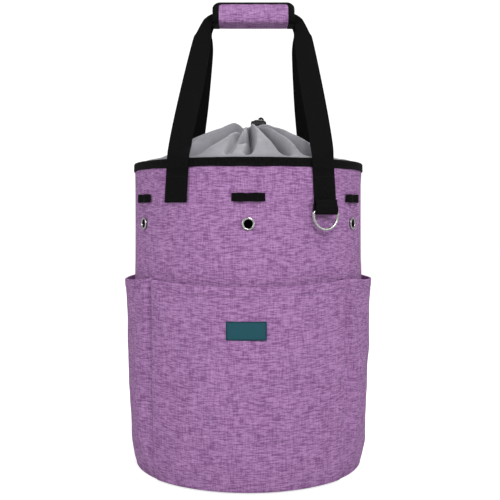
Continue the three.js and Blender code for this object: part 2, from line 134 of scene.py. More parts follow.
def curve_through(points, count, closed=False):
    """Points evenly spaced along a smooth curve through the given ones."""
    given = np.asarray(points, float)
    if closed:
        ends = np.vstack([given[-1:], given, given[:2]])
    else:
        ends = np.vstack([2 * given[0] - given[1], given, 2 * given[-1] - given[-2]])
    t = np.linspace(0, 1, 24, endpoint=False)[:, None]
    spans = []
    for a, b, c, d in zip(ends[:-3], ends[1:-2], ends[2:-1], ends[3:]):
        square, cube = 2 * a - 5 * b + 4 * c - d, 3 * b - 3 * c + d - a
        spans.append(0.5 * (2 * b + (c - a) * t + square * t**2 + cube * t**3))
    dense = np.vstack(spans + [given[:1] if closed else given[-1:]])
    return evenly(dense, count)


def evenly(line, count):
    """The same line with its points evenly spaced."""
    length = np.r_[0, np.cumsum(np.linalg.norm(np.diff(line, axis=0), axis=1))]
    at = np.linspace(0, length[-1], count)
    return np.column_stack([np.interp(at, length, line[:, k]) for k in range(line.shape[1])])


def tracer(line):
    """A function that gives the columns of a line at shares of the way along it."""
    at = np.linspace(0, 1, len(line))
    return lambda share: [np.interp(share, at, column) for column in line.T]


def between(first, second):
    """A function of (u, v) that gives the columns of two lines at the share v, mixed by u."""
    one, other = tracer(first), tracer(second)
    return lambda u, v: [a * (1 - u) + b * u for a, b in zip(one(v), other(v))]


def length_of(line):
    return float(np.linalg.norm(np.diff(line, axis=0), axis=1).sum())


def polar(theta, radius, z):
    turn = np.radians(theta)
    return np.stack(np.broadcast_arrays(radius * np.sin(turn), -radius * np.cos(turn), z), -1)


def outward_of(points):
    """Level unit vectors that point away from the bag's axis."""
    outward = points * [1, 1, 0]
    return outward / np.linalg.norm(outward, axis=1, keepdims=True)


def wrapped(degrees):
    """The same angle between -180 and 180."""
    return (degrees + 180) % 360 - 180


def turned(points, degrees):
    """Points turned round the bag's axis."""
    c, s = math.cos(math.radians(degrees)), math.sin(math.radians(degrees))
    return points @ np.array([[c, s, 0], [-s, c, 0], [0, 0, 1]])


# Slow, even waves that keep cloth from looking machined, as [waves a metre across, up, phase, height].
RIPPLES = np.array([
    [14, 9, 0.4, 0.34], [-11, 17, 2.1, 0.30], [23, -8, 4.0, 0.20], [31, 27, 1.2, 0.12], [-37, 19, 5.1, 0.10],
])


def ripple(across, up, seed=0.0):
    """A gentle unevenness of about 1 mm, from distances in millimetres."""
    total = 0
    for kx, kz, phase, height in RIPPLES:
        total = total + height * np.sin(2 * np.pi * (kx * across + kz * up) * MM + phase + seed)
    return total


# ---- Meshes --------------------------------------------------------------------------------------


def mesh_object(name, vertices, faces, uv=None, smooth_shading=True):
    """An object from vertices in millimetres. uv has a (u, v) in millimetres for each corner of each face."""
    mesh = bpy.data.meshes.new(name)
    mesh.from_pydata((np.asarray(vertices) * MM).tolist(), [], [list(map(int, f)) for f in faces])
    if uv is not None:
        layer = mesh.uv_layers.new(name="cloth")
        layer.data.foreach_set("uv", (np.asarray(uv, float) * MM).ravel())
    mesh.polygons.foreach_set("use_smooth", [smooth_shading] * len(mesh.polygons))
    mesh.update()
    made = bpy.data.objects.new(name, mesh)
    bpy.context.scene.collection.objects.link(made)
    return made


def quads(grid):
    """The four corners of each cell of a grid, going round the cell."""
    return np.stack([grid[:-1, :-1], grid[:-1, 1:], grid[1:, 1:], grid[1:, :-1]], 2)


def edged(count, length, rim):
    """Steps from 0 to 1 with extra ones close to both ends, where a sheet's edge is rounded."""
    near = rim / length * (1 - np.cos(np.linspace(0, np.pi / 2, 5)))
    inner = np.linspace(0, 1, count + 1)
    inner = inner[(inner > 1.6 * rim / length) & (inner < 1 - 1.6 * rim / length)]
    return np.concatenate([near, inner, 1 - near[::-1]])


def roundness(steps, length, rim):
    inside = np.minimum(np.minimum(steps, 1 - steps) * length / rim, 1)
    return np.sqrt(np.clip(1 - (1 - inside) ** 2, 0, 1))


def grid_normals(points, wrap):
    if wrap:
        ring = np.concatenate([points[:, -2:-1], points, points[:, 1:2]], 1)
        across = ring[:, 2:] - ring[:, :-2]
    else:
        across = np.gradient(points, axis=1)
    up = np.gradient(points, axis=0)
    normal = np.cross(across, up)
    return normal / np.maximum(np.linalg.norm(normal, axis=-1, keepdims=True), 1e-9)


def sheet(name, surface, columns, rows, size, thickness, wrap=False, flip=False):
    """Cloth of a real thickness with rounded edges about surface(u, v), u and v from 0 to 1.

    size is the width and height in millimetres, thickness a number or a function of (u, v), and wrap joins
    the first column to the last. flip turns a surface whose u and v run the other way round.
    """
    typical = thickness(np.array(0.5), np.array(0.5)) if callable(thickness) else thickness
    rim = float(typical) / 2
    u = np.linspace(0, 1, columns + 1) if wrap else edged(columns, size[0], rim)
    v = edged(rows, size[1], rim)
    U, V = np.meshgrid(u, v)
    middle = surface(U, V)
    normal = grid_normals(middle, wrap) * (-1 if flip else 1)
    half = (thickness(U, V) if callable(thickness) else np.full(U.shape, thickness)) / 2
    fall = roundness(v, size[1], rim)[:, None]
    if not wrap:
        fall = fall * roundness(u, size[0], rim)[None, :]
    offset = normal * (half * fall)[..., None]
    count_v, count_u = U.shape
    front_ids = np.arange(count_v * count_u).reshape(count_v, count_u)
    if wrap:
        front_ids = np.arange(count_v * (count_u - 1)).reshape(count_v, count_u - 1)
        front_ids = np.concatenate([front_ids, front_ids[:, :1]], 1)
    inner = np.zeros(U.shape, bool)
    inner[1:-1, (slice(None, -1) if wrap else slice(1, -1))] = True
    back_ids = front_ids.copy()
    back_ids[inner] = front_ids.max() + 1 + np.arange(inner.sum())
    if wrap:
        back_ids[:, -1] = back_ids[:, 0]
    kept = slice(None, -1) if wrap else slice(None)
    vertices = np.concatenate([(middle + offset)[:, kept].reshape(-1, 3), (middle - offset)[inner]])
    outer, back = quads(front_ids).reshape(-1, 4), quads(back_ids).reshape(-1, 4)[:, ::-1]
    uv_front = quads(np.stack([U * size[0], V * size[1]], -1)).reshape(-1, 4, 2)
    uv_back = uv_front[:, ::-1]
    if flip:
        outer, back = outer[:, ::-1], back[:, ::-1]
        uv_front, uv_back = uv_back, uv_front
    uv = np.vstack([uv_front, uv_back]).reshape(-1, 2)
    return mesh_object(name, vertices, np.vstack([outer, back]), uv)


def loft(name, rings, closed=False, uv_scale=None):
    """A solid through closed rings of points, shape (rings, sides, 3), joined up or capped at its ends."""
    rings = np.asarray(rings, float)
    count, sides = rings.shape[:2]
    ids = np.arange(count * sides).reshape(count, sides)
    rows = np.vstack([ids, ids[:1]]) if closed else ids
    faces = quads(np.concatenate([rows, rows[:, :1]], 1)).reshape(-1, 4).tolist()
    centres = rings.mean(1)
    along = np.r_[0, np.cumsum(np.linalg.norm(np.diff(centres, axis=0), axis=1))]
    edges = np.diff(np.concatenate([rings[:, :1], rings], 1), axis=1)
    round_length = np.linalg.norm(edges, axis=2).sum(1).mean()
    if closed:
        along = np.r_[along, along[-1] + np.linalg.norm(centres[0] - centres[-1])]
    if uv_scale is not None:
        along = np.linspace(0, uv_scale, len(along))
    A, S = np.meshgrid(along, np.linspace(0, round_length, sides + 1), indexing="ij")
    uv = quads(np.stack([A, S], -1)).reshape(-1, 2)
    if not closed:
        faces += [ids[0, ::-1].tolist(), ids[-1].tolist()]
        uv = np.vstack([uv, np.zeros((2 * sides, 2))])
    return mesh_object(name, rings.reshape(-1, 3), faces, uv)


def rod_rings(path, radius, sides=12, closed=False):
    """Circles of the given radius about a path; radius may be one number for each point."""
    path = np.asarray(path, float)
    if closed:
        along = np.roll(path, -1, 0) - np.roll(path, 1, 0)
    else:
        along = np.gradient(path, axis=0)
    along /= np.linalg.norm(along, axis=1, keepdims=True)
    side = np.cross(along[0], [0.31, 0.17, 0.93])
    turn = full_turn(sides)
    radius = np.broadcast_to(radius, (len(path),))
    rings = []
    for point, way, r in zip(path, along, radius):
        side = side - way * (side @ way)
        side /= np.linalg.norm(side)
        other = np.cross(way, side)
        rings.append(point + r * (np.cos(turn)[:, None] * side + np.sin(turn)[:, None] * other))
    return np.array(rings)


def spun(name, profile, segments, place=None, wobble=None):
    """A solid of revolution about Z from a closed outline of [radius, z], listed anticlockwise."""
    turn = full_turn(segments)[:, None]
    r, z = np.asarray(profile, float).T
    rings = np.stack(np.broadcast_arrays(np.cos(turn) * r, np.sin(turn) * r, z[None, :]), -1)
    if wobble is not None:
        rings = wobble(rings)
    if place is not None:
        rings = rings @ np.array(place.to_3x3()).T + np.array(place.translation)
    return loft(name, rings[::-1], closed=True, uv_scale=2 * np.pi * r.max())


def rounded(outline, radii, steps=4):
    """A closed outline of 2-D corners with each corner rounded, by one radius or by one for each corner."""
    outline = np.asarray(outline, float)
    radii = np.broadcast_to(radii, len(outline))
    made = []
    for before, here, after, radius in zip(np.roll(outline, 1, 0), outline, np.roll(outline, -1, 0), radii):
        to_before, to_after = before - here, after - here
        reach = min(radius, np.linalg.norm(to_before) * 0.48, np.linalg.norm(to_after) * 0.48)
        start = here + to_before / np.linalg.norm(to_before) * reach
        end = here + to_after / np.linalg.norm(to_after) * reach
        for t in np.linspace(0, 1, steps):
            made.append((1 - t) ** 2 * start + 2 * t * (1 - t) * here + t * t * end)
    return np.array(made)


def joined(name, objects):
    """One object from several."""
    target = objects[0]
    with bpy.context.temp_override(active_object=target, selected_editable_objects=objects, object=target):
        bpy.ops.object.join()
    target.name = target.data.name = name
    return target


def punched(target, cutters):
    """target with the cutters taken away."""
    tool = joined("cutter", cutters) if len(cutters) > 1 else cutters[0]
    change = target.modifiers.new("holes", "BOOLEAN")
    change.operation = "DIFFERENCE"
    change.solver = "EXACT"
    change.object = tool
    settle(target)
    bpy.data.objects.remove(tool)
    return target


def settle(target):
    """Makes an object's modifiers part of its mesh."""
    depsgraph = bpy.context.evaluated_depsgraph_get()
    final = bpy.data.meshes.new_from_object(target.evaluated_get(depsgraph), depsgraph=depsgraph)
    target.modifiers.clear()
    target.data = final
    final.name = target.name
    return target


# ---- Stitches ------------------------------------------------------------------------------------


def stitch_run(path, normals, pitch=3.4, share=0.68, radius=0.3):
    """Rings of points for a row of stitches on a path, each a small capsule that dips in at both ends."""
    path, normals = np.asarray(path, float), np.asarray(normals, float)
    count = max(1, int(round(length_of(path) / pitch)))
    both = evenly(np.concatenate([path, normals], 1), 2 * count + 1)
    made = []
    for middle in both[1::2]:
        centre, normal = middle[:3], middle[3:] / np.linalg.norm(middle[3:])
        nearest = np.argmin(np.linalg.norm(path - centre, axis=1))
        ahead = path[min(nearest + 1, len(path) - 1)] - path[max(nearest - 1, 0)]
        ahead /= np.linalg.norm(ahead)
        side = np.cross(normal, ahead)
        along = np.array([-1, -0.85, -0.4, 0.4, 0.85, 1]) * pitch * share / 2
        size = np.array([0.15, 0.75, 1, 1, 0.75, 0.15]) * radius
        lift = np.array([-0.9, -0.3, 0.15, 0.15, -0.3, -0.9]) * radius
        turn = full_turn(6)
        circle = np.cos(turn)[:, None] * side + np.sin(turn)[:, None] * normal
        rings = [centre + a * ahead + l * normal + s * circle for a, l, s in zip(along, lift, size)]
        made.append(np.array(rings))
    return made


def stitches(name, runs, look="black_thread"):
    """Makes one piece of every stitch of the given runs."""
    vertices, faces = [], []
    start = 0
    for rings in (r for run in runs for r in run):
        count, sides = rings.shape[:2]
        ids = start + np.arange(count * sides).reshape(count, sides)
        faces += quads(np.concatenate([ids, ids[:, :1]], 1)).reshape(-1, 4).tolist()
        faces += [ids[0, ::-1].tolist(), ids[-1].tolist()]
        vertices.append(rings.reshape(-1, 3))
        start += count * sides
    piece(mesh_object(name, np.vstack(vertices), faces), look)


def segment(surface, start, end, count):
    """Points of surface(u, v) on the way from one (u, v) to another."""
    steps = np.linspace(0, 1, count)
    return surface(start[0] + (end[0] - start[0]) * steps, start[1] + (end[1] - start[1]) * steps)


def rectangle(low, high):
    """The four sides of a rectangle in (u, v), each as its two ends."""
    ring = [low, (high[0], low[1]), high, (low[0], high[1])]
    return list(zip(ring, ring[1:] + ring[:1]))


# ---- Materials -----------------------------------------------------------------------------------


class Look:
    """A material with one Principled shader whose colour, roughness and bump come from procedural nodes."""

    def __init__(self, name, roughness=0.8, metallic=0.0, sheen=0.0, specular=0.5, coordinates="cloth"):
        self.material = bpy.data.materials.new(name)
        self.material.use_nodes = True
        self.tree = self.material.node_tree
        self.tree.nodes.clear()
        self.shader = self.add("ShaderNodeBsdfPrincipled", Roughness=roughness, Metallic=metallic)
        self.shader.inputs["Sheen Weight"].default_value = sheen
        self.shader.inputs["Sheen Roughness"].default_value = 0.5
        self.shader.inputs["Specular IOR Level"].default_value = specular
        self.put(self.add("ShaderNodeOutputMaterial").inputs["Surface"], self.shader.outputs[0])
        if coordinates == "cloth":
            source = self.add("ShaderNodeUVMap", uv_map="cloth").outputs[0]
        else:
            source = self.add("ShaderNodeTexCoord").outputs["Object"]
        scaled = self.add("ShaderNodeVectorMath", operation="SCALE", Scale=1000.0)
        self.put(scaled.inputs[0], source)
        split = self.add("ShaderNodeSeparateXYZ")
        self.put(split.inputs[0], scaled.outputs[0])
        self.u, self.v, self.w = split.outputs

    def add(self, kind, **settings):
        node = self.tree.nodes.new(kind)
        for key, value in settings.items():
            if key in node.inputs:
                node.inputs[key].default_value = value
            else:
                setattr(node, key, value)
        return node

    def put(self, socket, value):
        """Links a socket to another, or sets its number or colour."""
        if isinstance(value, bpy.types.NodeSocket):
            self.tree.links.new(value, socket)
        else:
            socket.default_value = (*value, 1) if isinstance(value, tuple) else value

    def math(self, operation, a, b=0.0, c=0.0):
        node = self.add("ShaderNodeMath", operation=operation)
        for socket, value in zip(node.inputs, (a, b, c)):
            self.put(socket, value)
        return node.outputs[0]

    def noise(self, across, up, detail=2.0, seed=0.0, out=1.0):
        """Noise whose grains are `across` by `up` millimetres."""
        place = self.add("ShaderNodeCombineXYZ")
        self.put(place.inputs[0], self.math("DIVIDE", self.u, across))
        self.put(place.inputs[1], self.math("DIVIDE", self.v, up))
        self.put(place.inputs[2], self.math("MULTIPLY_ADD", self.w, 1.0 / out, seed))
        node = self.add("ShaderNodeTexNoise", Scale=1.0, Detail=detail)
        self.put(node.inputs["Vector"], place.outputs[0])
        return node.outputs[0]

    def threads(self, along, across, pitch, length, seed):
        """A tone that is even across each thread and changes slowly along it."""
        place = self.add("ShaderNodeCombineXYZ")
        thread = self.math("FLOOR", self.math("DIVIDE", across, pitch))
        start = self.math("MULTIPLY", thread, 3.77)
        self.put(place.inputs[0], self.math("ADD", start, self.math("DIVIDE", along, length)))
        self.put(place.inputs[1], self.math("MULTIPLY", thread, 7.31))
        place.inputs[2].default_value = seed
        node = self.add("ShaderNodeTexNoise", Scale=1.0, Detail=3.0)
        self.put(node.inputs["Vector"], place.outputs[0])
        return node.outputs[0]

    def ribs(self, value, pitch, phase=0.0):
        """A wave from -1 to 1 that repeats every pitch millimetres."""
        return self.math("SINE", self.math("MULTIPLY_ADD", value, 2 * math.pi / pitch, phase))

    def spread(self, value, low, high, to_low=0.0, to_high=1.0):
        node = self.add("ShaderNodeMapRange", interpolation_type="SMOOTHSTEP")
        for key, number in zip(("Value", "From Min", "From Max", "To Min", "To Max"),
                               (value, low, high, to_low, to_high)):
            self.put(node.inputs[key], number)
        return node.outputs[0]

    def mix(self, amount, first, second):
        node = self.add("ShaderNodeMix", data_type="RGBA")
        for key, value in (("Factor", amount), (6, first), (7, second)):
            self.put(node.inputs[key], value)
        return node.outputs[2]

    def colour(self, value):
        self.put(self.shader.inputs["Base Color"], value)

    def roughness(self, value):
        self.put(self.shader.inputs["Roughness"], value)

    def bump(self, height, distance_mm, strength=1.0):
        node = self.add("ShaderNodeBump", Strength=strength, Distance=distance_mm * MM)
        self.put(node.inputs["Height"], height)
        self.put(self.shader.inputs["Normal"], node.outputs[0])


def heather_look(name, dark, light, pitch=0.75):
    """Plain weave of threads that each have a tone of their own, with long dark slubs along the weft."""
    look = Look(name, roughness=0.95, sheen=0.03, specular=0.12)
    weft = look.threads(look.u, look.v, pitch, 9.0, 3.1)
    warp = look.threads(look.v, look.u, pitch, 12.0, 11.3)
    slub = look.threads(look.u, look.v, pitch, 18.0, 7.7)
    pale_slub = look.threads(look.u, look.v, pitch, 14.0, 17.7)
    patch = look.noise(30, 20, 2.0, 19.0)
    grain = look.noise(0.9, 0.7, 1.0, 41.0)
    over = look.math("MULTIPLY", look.ribs(look.u, 2 * pitch), look.ribs(look.v, 2 * pitch))
    on_top = look.spread(over, -0.4, 0.4, 0.44, 0.90)
    weft_tone = look.math("MULTIPLY", look.spread(weft, 0.34, 0.66), on_top)
    warp_tone = look.math("MULTIPLY", look.spread(warp, 0.34, 0.66), look.math("SUBTRACT", 1.0, on_top))
    tone = look.math("ADD", weft_tone, warp_tone)
    tone = look.math("MULTIPLY_ADD", look.spread(slub, 0.60, 0.74), 0.42, tone)
    tone = look.math("MULTIPLY_ADD", look.spread(pale_slub, 0.62, 0.76), -0.40, tone)
    tone = look.math("MULTIPLY_ADD", look.math("SUBTRACT", patch, 0.5), 0.06, tone)
    tone = look.math("MULTIPLY_ADD", look.math("SUBTRACT", grain, 0.5), 0.55, tone)
    look.colour(look.mix(look.spread(tone, -0.05, 1.05), light, dark))
    height = look.math("MULTIPLY_ADD", weft, 0.8, look.math("MULTIPLY", warp, 0.8))
    look.bump(look.math("MULTIPLY_ADD", over, 0.5, height), 0.16, 0.8)
    return look.material


def webbing_look(name, base, lift, rib=1.3):
    """Heavy woven tape: crosswise ribs and fine lengthwise ends."""
    look = Look(name, roughness=0.72, specular=0.06)
    cross = look.ribs(look.v, rib)
    ends = look.ribs(look.u, 0.9)
    check = look.math("MULTIPLY", cross, ends)
    fuzz = look.noise(1.2, 1.2, 3.0, 2.0)
    look.colour(look.mix(look.spread(fuzz, 0.3, 0.72), base, lift))
    height = look.math("MULTIPLY_ADD", check, 0.5, look.math("MULTIPLY_ADD", cross, 0.5, fuzz))
    look.bump(height, 0.22, 0.8)
    look.roughness(look.spread(fuzz, 0.3, 0.7, 0.65, 0.85))
    return look.material


def ribbon_look(name, base, lift, rib=0.95):
    """Grosgrain: close ribs across the tape."""
    look = Look(name, roughness=0.7, specular=0.06)
    cross = look.ribs(look.u, rib)
    fuzz = look.noise(2.5, 0.8, 2.0, 5.0)
    look.colour(look.mix(look.spread(fuzz, 0.3, 0.7), base, lift))
    look.bump(look.math("MULTIPLY_ADD", fuzz, 0.8, cross), 0.16, 0.8)
    return look.material


def nylon_look(name, dark, light):
    """Thin smooth lining cloth with a soft sheen and small creases."""
    look = Look(name, roughness=0.5, sheen=0.06, specular=0.2)
    cloud = look.noise(22, 22, 3.0, 1.0)
    look.colour(look.mix(look.spread(cloud, 0.3, 0.7), dark, light))
    weave = look.math("MULTIPLY", look.ribs(look.u, 0.6), look.ribs(look.v, 0.6))
    crease = look.noise(9, 14, 4.0, 8.0)
    look.bump(look.math("MULTIPLY_ADD", crease, 3.0, look.math("MULTIPLY", weave, 0.12)), 0.35, 0.7)
    look.roughness(look.spread(cloud, 0.3, 0.7, 0.45, 0.6))
    return look.material


def grained_look(name, dark, light, grain, roughness, metallic=0.0, depth=0.08, specular=0.3):
    """Plastic, metal, foam, felt or thread by its grain."""
    look = Look(name, roughness[0], metallic, specular=specular, coordinates="object")
    speck = look.noise(grain, grain, 4.0, 6.0, out=grain)
    look.colour(look.mix(look.spread(speck, 0.32, 0.68), dark, light))
    look.roughness(look.spread(speck, 0.32, 0.68, roughness[0], roughness[1]))
    look.bump(speck, depth, 0.6)
    return look.material


def cord_look(name, base, lift):
    """Round braid: strands that cross at a slant."""
    look = Look(name, roughness=0.6, sheen=0.02, specular=0.15)
    one = look.math("ADD", look.u, look.v)
    other = look.math("SUBTRACT", look.u, look.v)
    braid = look.math("MULTIPLY", look.ribs(one, 1.3), look.ribs(other, 1.3))
    look.colour(look.mix(look.spread(braid, -0.6, 0.8), base, lift))
    look.bump(braid, 0.2, 0.9)
    return look.material


def label_look(name, field, border, size):
    """A woven label: a satin field of one colour inside a narrow border."""
    look = Look(name, roughness=0.6, sheen=0.02, specular=0.15)
    edge_u = look.math("MINIMUM", look.u, look.math("SUBTRACT", size[0], look.u))
    edge_v = look.math("MINIMUM", look.v, look.math("SUBTRACT", size[1], look.v))
    inside = look.spread(look.math("MINIMUM", edge_u, edge_v), 0.7, 1.0)
    thread = look.noise(1.6, 0.35, 2.0, 4.0)
    darker, lighter = (tuple(k * c for c in field) for k in (0.8, 1.2))
    tone = look.mix(look.spread(thread, 0.3, 0.7), darker, lighter)
    look.colour(look.mix(inside, border, tone))
    look.bump(look.math("MULTIPLY_ADD", look.ribs(look.v, 0.5), 0.4, thread), 0.12, 0.8)
    return look.material


def even(level):
    """A neutral grey."""
    return (level, level, level)


BLACK, BLACK_LIFT = (0.0015, 0.0015, 0.0016), (0.006, 0.006, 0.0062)
LOOKS = {
    "heather": heather_look("heather_fabric", (0.190, 0.076, 0.208), (0.440, 0.243, 0.472)),
    "webbing": webbing_look("black_webbing", BLACK, BLACK_LIFT),
    "ribbon": ribbon_look("black_ribbon", BLACK, (0.0055, 0.0055, 0.0057)),
    "collar": nylon_look("grey_collar", (0.245, 0.24, 0.262), (0.295, 0.29, 0.317)),
    "lining": nylon_look("grey_lining", (0.30, 0.295, 0.315), (0.36, 0.355, 0.38)),
    "foam": grained_look("foam", (0.62, 0.60, 0.54), (0.80, 0.78, 0.72), 1.2, (0.9, 0.98), depth=0.5),
    "board": grained_look("base_board", (0.02, 0.02, 0.022), (0.035, 0.035, 0.038), 1.5, (0.45, 0.65)),
    "hook": grained_look("fastening_tape", even(0.003), even(0.014), 0.5, (0.8, 0.95), 0.0, 0.3, 0.1),
    "nickel": grained_look("nickel", (0.42, 0.415, 0.41), (0.56, 0.555, 0.545), 3.0, (0.16, 0.3), 1.0, 0.02),
    "steel": grained_look("spring_steel", (0.45, 0.45, 0.46), (0.6, 0.6, 0.61), 1.0, (0.25, 0.4), 1.0),
    "plastic": grained_look("lock_plastic", (0.005, 0.005, 0.0053), (0.009, 0.009, 0.0095), 0.8, (0.35, 0.5)),
    "cord": cord_look("cord", even(0.003), even(0.012)),
    "label": label_look("label", (0.012, 0.075, 0.098), (0.007, 0.032, 0.052), LABEL_SIZE),
    "thread": grained_look("thread", (0.20, 0.10, 0.22), (0.34, 0.19, 0.37), 0.4, (0.7, 0.85)),
    "black_thread": grained_look("black_thread", even(0.003), even(0.011), 0.4, (0.6, 0.8), specular=0.12),
}


def dress(obj, material):
    obj.data.materials.clear()
    obj.data.materials.append(material)


def piece(obj, look, body="root", stands_for=()):
    """Gives a piece its material, hides the CAD nodes it stands for and puts it under its body, if it has
    one.
    """
    dress(obj, LOOKS[look])
    if stands_for:
        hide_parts(*stands_for)
    if body:
        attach(obj, body)
    return obj


# ---- Drum ----------------------------------------------------------------------------------------
# The wall's three layers share one outline: it draws in at the base and waves a little.


def drawn_in(z):
    return -4.5 * np.clip(1 - z / 18, 0, 1) ** 2


def wall_offset(theta, z):
    around = np.radians(theta)
    wave = 0.35 * np.sin(3 * around + 0.6) + 0.25 * np.sin(7 * around + z / 60)
    wave = wave + 0.15 * np.sin(13 * around - z / 35)
    free = smooth(z, 214, 235) * (1 - smooth(z, 315, 330))
    return drawn_in(z) + (wave - 0.55) * free


def wall_layer(name, outer, inner, low, high):
    middle = (outer + inner) / 2

    def surface(u, v):
        z = low + v * (high - low)
        theta = 360 * u
        return polar(theta, middle + wall_offset(theta, z), z)

    return sheet(name, surface, 240, 90, (2 * np.pi * middle, high - low), outer - inner, wrap=True)


EYELET_BARREL = 5.0


def hole_cutters(radius, closed):
    """A rod through the wall at each eyelet but those in closed."""
    turn = full_turn(32)
    circle = np.stack([radius * np.cos(turn), np.zeros(32), EYELET_Z + radius * np.sin(turn)], 1)
    made = []
    for i, place in enumerate(AROUND):
        if place not in closed:
            ends = [turned(circle + FRONT * reach, AROUND_STEP * i) for reach in (WALL_R - 20, WALL_R + 10)]
            made.append(loft(f"hole_{i}", ends))
    return made


def drum():
    for name, node, thickness, look in (
        ("outer_fabric", "shell_wall", 1.2, "heather"),
        ("foam_padding", "foam_wall", 3.5, "foam"),
        ("wall_lining", "lining_wall", 0.8, "lining"),
    ):
        outer = corners(node)[1][0]
        made = wall_layer(name, outer, outer - thickness, wall_low[2], WALL_TOP)
        punched(made, hole_cutters(EYELET_BARREL + 0.2, ["back"] if node == "lining_wall" else []))
        piece(made, look, stands_for=[node])


def flat_round(name, radius, low, high, look, node):
    """A round of cloth with a soft edge."""
    thickness = high - low
    steps = np.linspace(0, 1, 24)
    top = [[radius * r, high] for r in steps[:-1]]
    turn = np.linspace(np.pi / 2, -np.pi / 2, 9)
    middle, half = (low + high) / 2, thickness / 2
    edge = [[radius - half * (1 - math.cos(a)), middle + half * math.sin(a)] for a in turn]
    under = [[radius * r, low] for r in steps[:-1][::-1]]
    outline = np.array(top + edge + under)
    count = 120
    vertices = [[0, 0, outline[0, 1]], [0, 0, outline[-1, 1]]]
    rings = outline[1:-1]
    for a in full_turn(count):
        vertices += [[r * math.cos(a), r * math.sin(a), z] for r, z in rings]
    n = len(rings)
    faces = []
    for i in range(count):
        here, there = 2 + i * n, 2 + ((i + 1) % count) * n
        faces.append([0, here, there])
        faces.append([1, there + n - 1, here + n - 1])
        faces += [[here + k, here + k + 1, there + k + 1, there + k] for k in range(n - 1)]
    uv = [vertices[i][:2] for face in faces for i in face]
    piece(mesh_object(name, vertices, faces, uv), look, stands_for=[node])


def base():
    for name, node, trim, look in (
        ("base_fabric", "base_panel", 1.2, "heather"),
        ("base_lining_cloth", "base_lining", 0, "lining"),
    ):
        low, high = corners(node)
        flat_round(name, high[0] - trim, low[2], high[2], look, node)
    low, high = corners("base_seam_tape")
    outer = high[0]
    band = rounded([[outer - 1, low[2]], [outer, low[2]], [outer, high[2]], [outer - 1, high[2]]], 0.4)
    piece(spun("base_tape", band, 180), "ribbon", stands_for=["base_seam_tape"])
    dress(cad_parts["base_board"], LOOKS["board"])


def rim():
    """Ribbon folded over the wall's raw edge, with a row of stitches outside."""
    outside, inside = RIM_OUT, 123.6
    thick = 1.0
    face_out, face_in, under = outside - thick, inside + thick, RIM_TOP - thick
    profile = [[face_out, RIM_LOW], [outside, RIM_LOW], [outside, RIM_TOP], [inside, RIM_TOP],
               [inside, RIM_LOW], [face_in, RIM_LOW], [face_in, under], [face_out, under]]
    soft = rounded(profile, [0.45, 0.45, 2.6, 2.6, 0.45, 0.45, 1.4, 1.4], 6)

    def uneven(rings):
        turn = np.arctan2(rings[..., 1], rings[..., 0])
        low_edge = smooth(-rings[..., 2], -RIM_LOW - 3, -RIM_LOW)
        rings[..., 2] += low_edge * (0.25 * np.sin(9 * turn) + 0.15 * np.sin(23 * turn + 1))
        return rings

    made = spun("rim_binding_tape", soft, 400, wobble=uneven)
    piece(made, "ribbon", stands_for=["rim_binding"])
    theta = np.linspace(0, 360, 721)
    path = polar(theta, outside + 0.02, RIM_LOW + 1.8)
    run = stitch_run(path, polar(theta, 1.0, 0.0), 3.0, 0.7, 0.22)
    stitches("rim_binding_stitches", [run])


# ---- Pockets -------------------------------------------------------------------------------------
# Outside radius of the pockets by height, in the middle of each panel.
FRONT_HEIGHTS, FRONT_RADII = [0, 6, 30, 100, 208, 216], [132.4, 134.2, 137.5, 140, 142, 142.1]
SIDE_HEIGHTS = [0, 4, 12, 34, 74, 184, 212, 216]
SIDE_RADII = [128.6, 130.1, 132.2, 134.6, 136.8, 140.6, 142, 142.1]
TYPICAL_RADIUS = 140  # turns angles on a panel into widths
POCKET_BOTTOM = 1.2
HEM = 10.0
pocket_surfaces = {}


def pocket_top(across):
    return POCKET_TOP - POCKET_SAG * (1 - across**2)


def arc(degrees):
    return degrees * np.pi / 180 * TYPICAL_RADIUS


def sewn_radius(z):
    """Middle of a pocket's cloth where it is sewn to the wall."""
    return WALL_R + 0.3 + POCKET_T / 2 + drawn_in(z)


def front_radius(across, z):
    """Middle of a front or back pocket's cloth: full almost to its edges, then folded back to the wall."""
    full = steady(z, FRONT_HEIGHTS, FRONT_RADII) - POCKET_T / 2
    seam = sewn_radius(z)
    edge = flat_top(across, 44) ** 0.45
    arch = 1 - 0.14 * across**4 * smooth(z, 10, 60)
    return seam + (full - seam) * edge * arch


def side_radius(across, z):
    """Middle of a side pocket's cloth: it starts on the wall at the seam and swells out beside it."""
    full = steady(z, SIDE_HEIGHTS, SIDE_RADII) - POCKET_T / 2
    seam = sewn_radius(z)
    from_seam = (1 - np.abs(across)) * SIDE_HALF
    low_down = 1 - smooth(z, 60, 190)
    beside_seam = 3.2 * hump(from_seam - 11, 5) * low_down * smooth(z, 0, 60)
    return seam + (full - seam + beside_seam) * smooth(from_seam, 1.0 + 1.2 * low_down, 4.5 + 4.5 * low_down)


